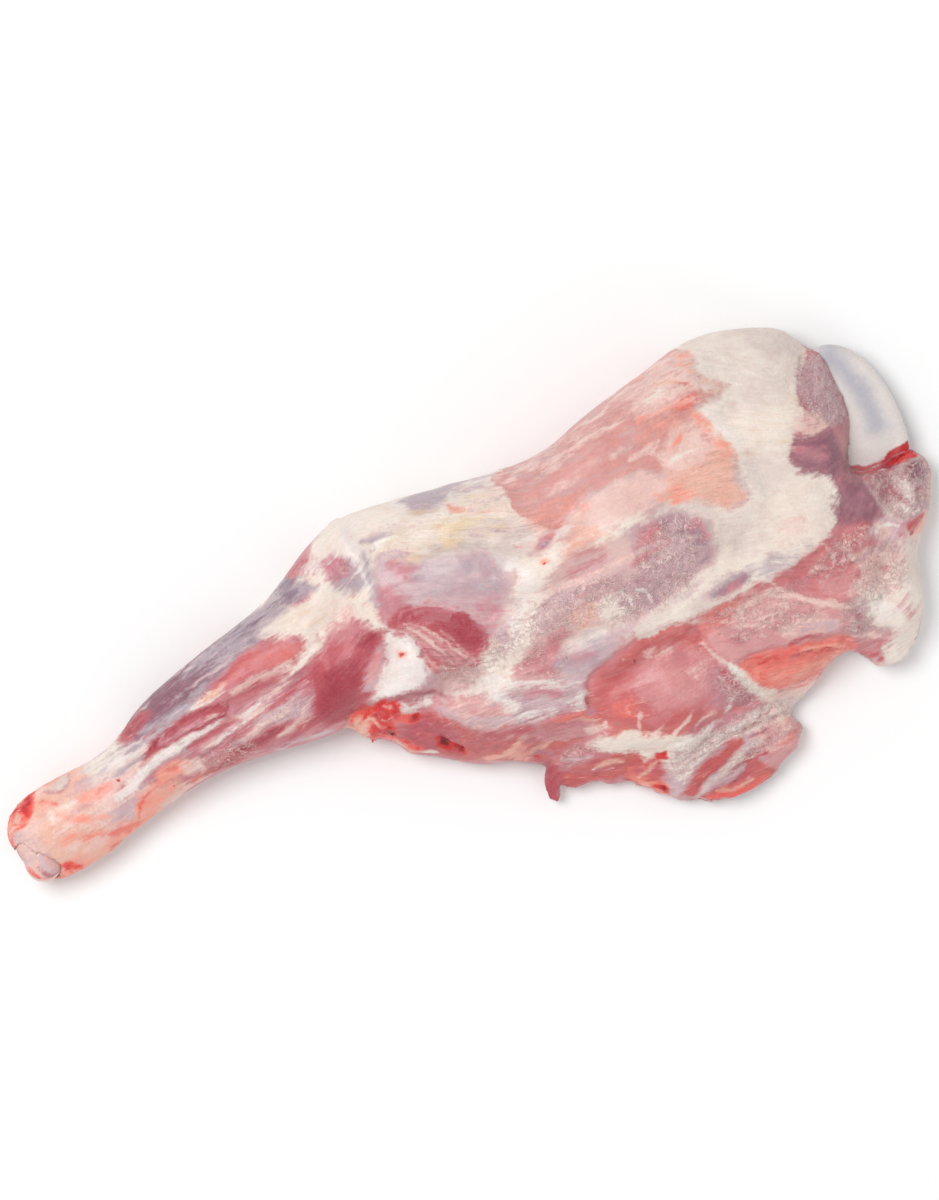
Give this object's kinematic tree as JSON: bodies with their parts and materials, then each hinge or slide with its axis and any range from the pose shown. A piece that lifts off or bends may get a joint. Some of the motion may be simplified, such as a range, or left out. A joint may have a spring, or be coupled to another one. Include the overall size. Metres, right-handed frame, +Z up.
{
  "type": "raw kid goat leg",
  "caption": "Skinned raw kid goat foreleg with its shoulder, lying flat: a narrow shank with an open knuckle, a broad muscled shoulder, the blade's cartilage edge and loose flaps.",
  "frame": {"origin": "on the surface the leg lies on, under the middle of its bounding box", "axes": "+X along the leg from the knuckle to the shoulder blade, +Y across it towards its front edge, +Z up through its thickness"},
  "size_m": [0.3994, 0.1756, 0.0569],
  "materials": {
    "raw_meat": "wet raw muscle and membrane, pink to dark red",
    "blade_gristle": "wet bluish-white cartilage",
    "joint_gristle": "wet pinkish-white cartilage"
  },
  "bodies": {
    "root": {"leg_meat": "raw_meat", "blade_cartilage": "blade_gristle", "knuckle_cartilage": "joint_gristle"}
  },
  "joints": []
}
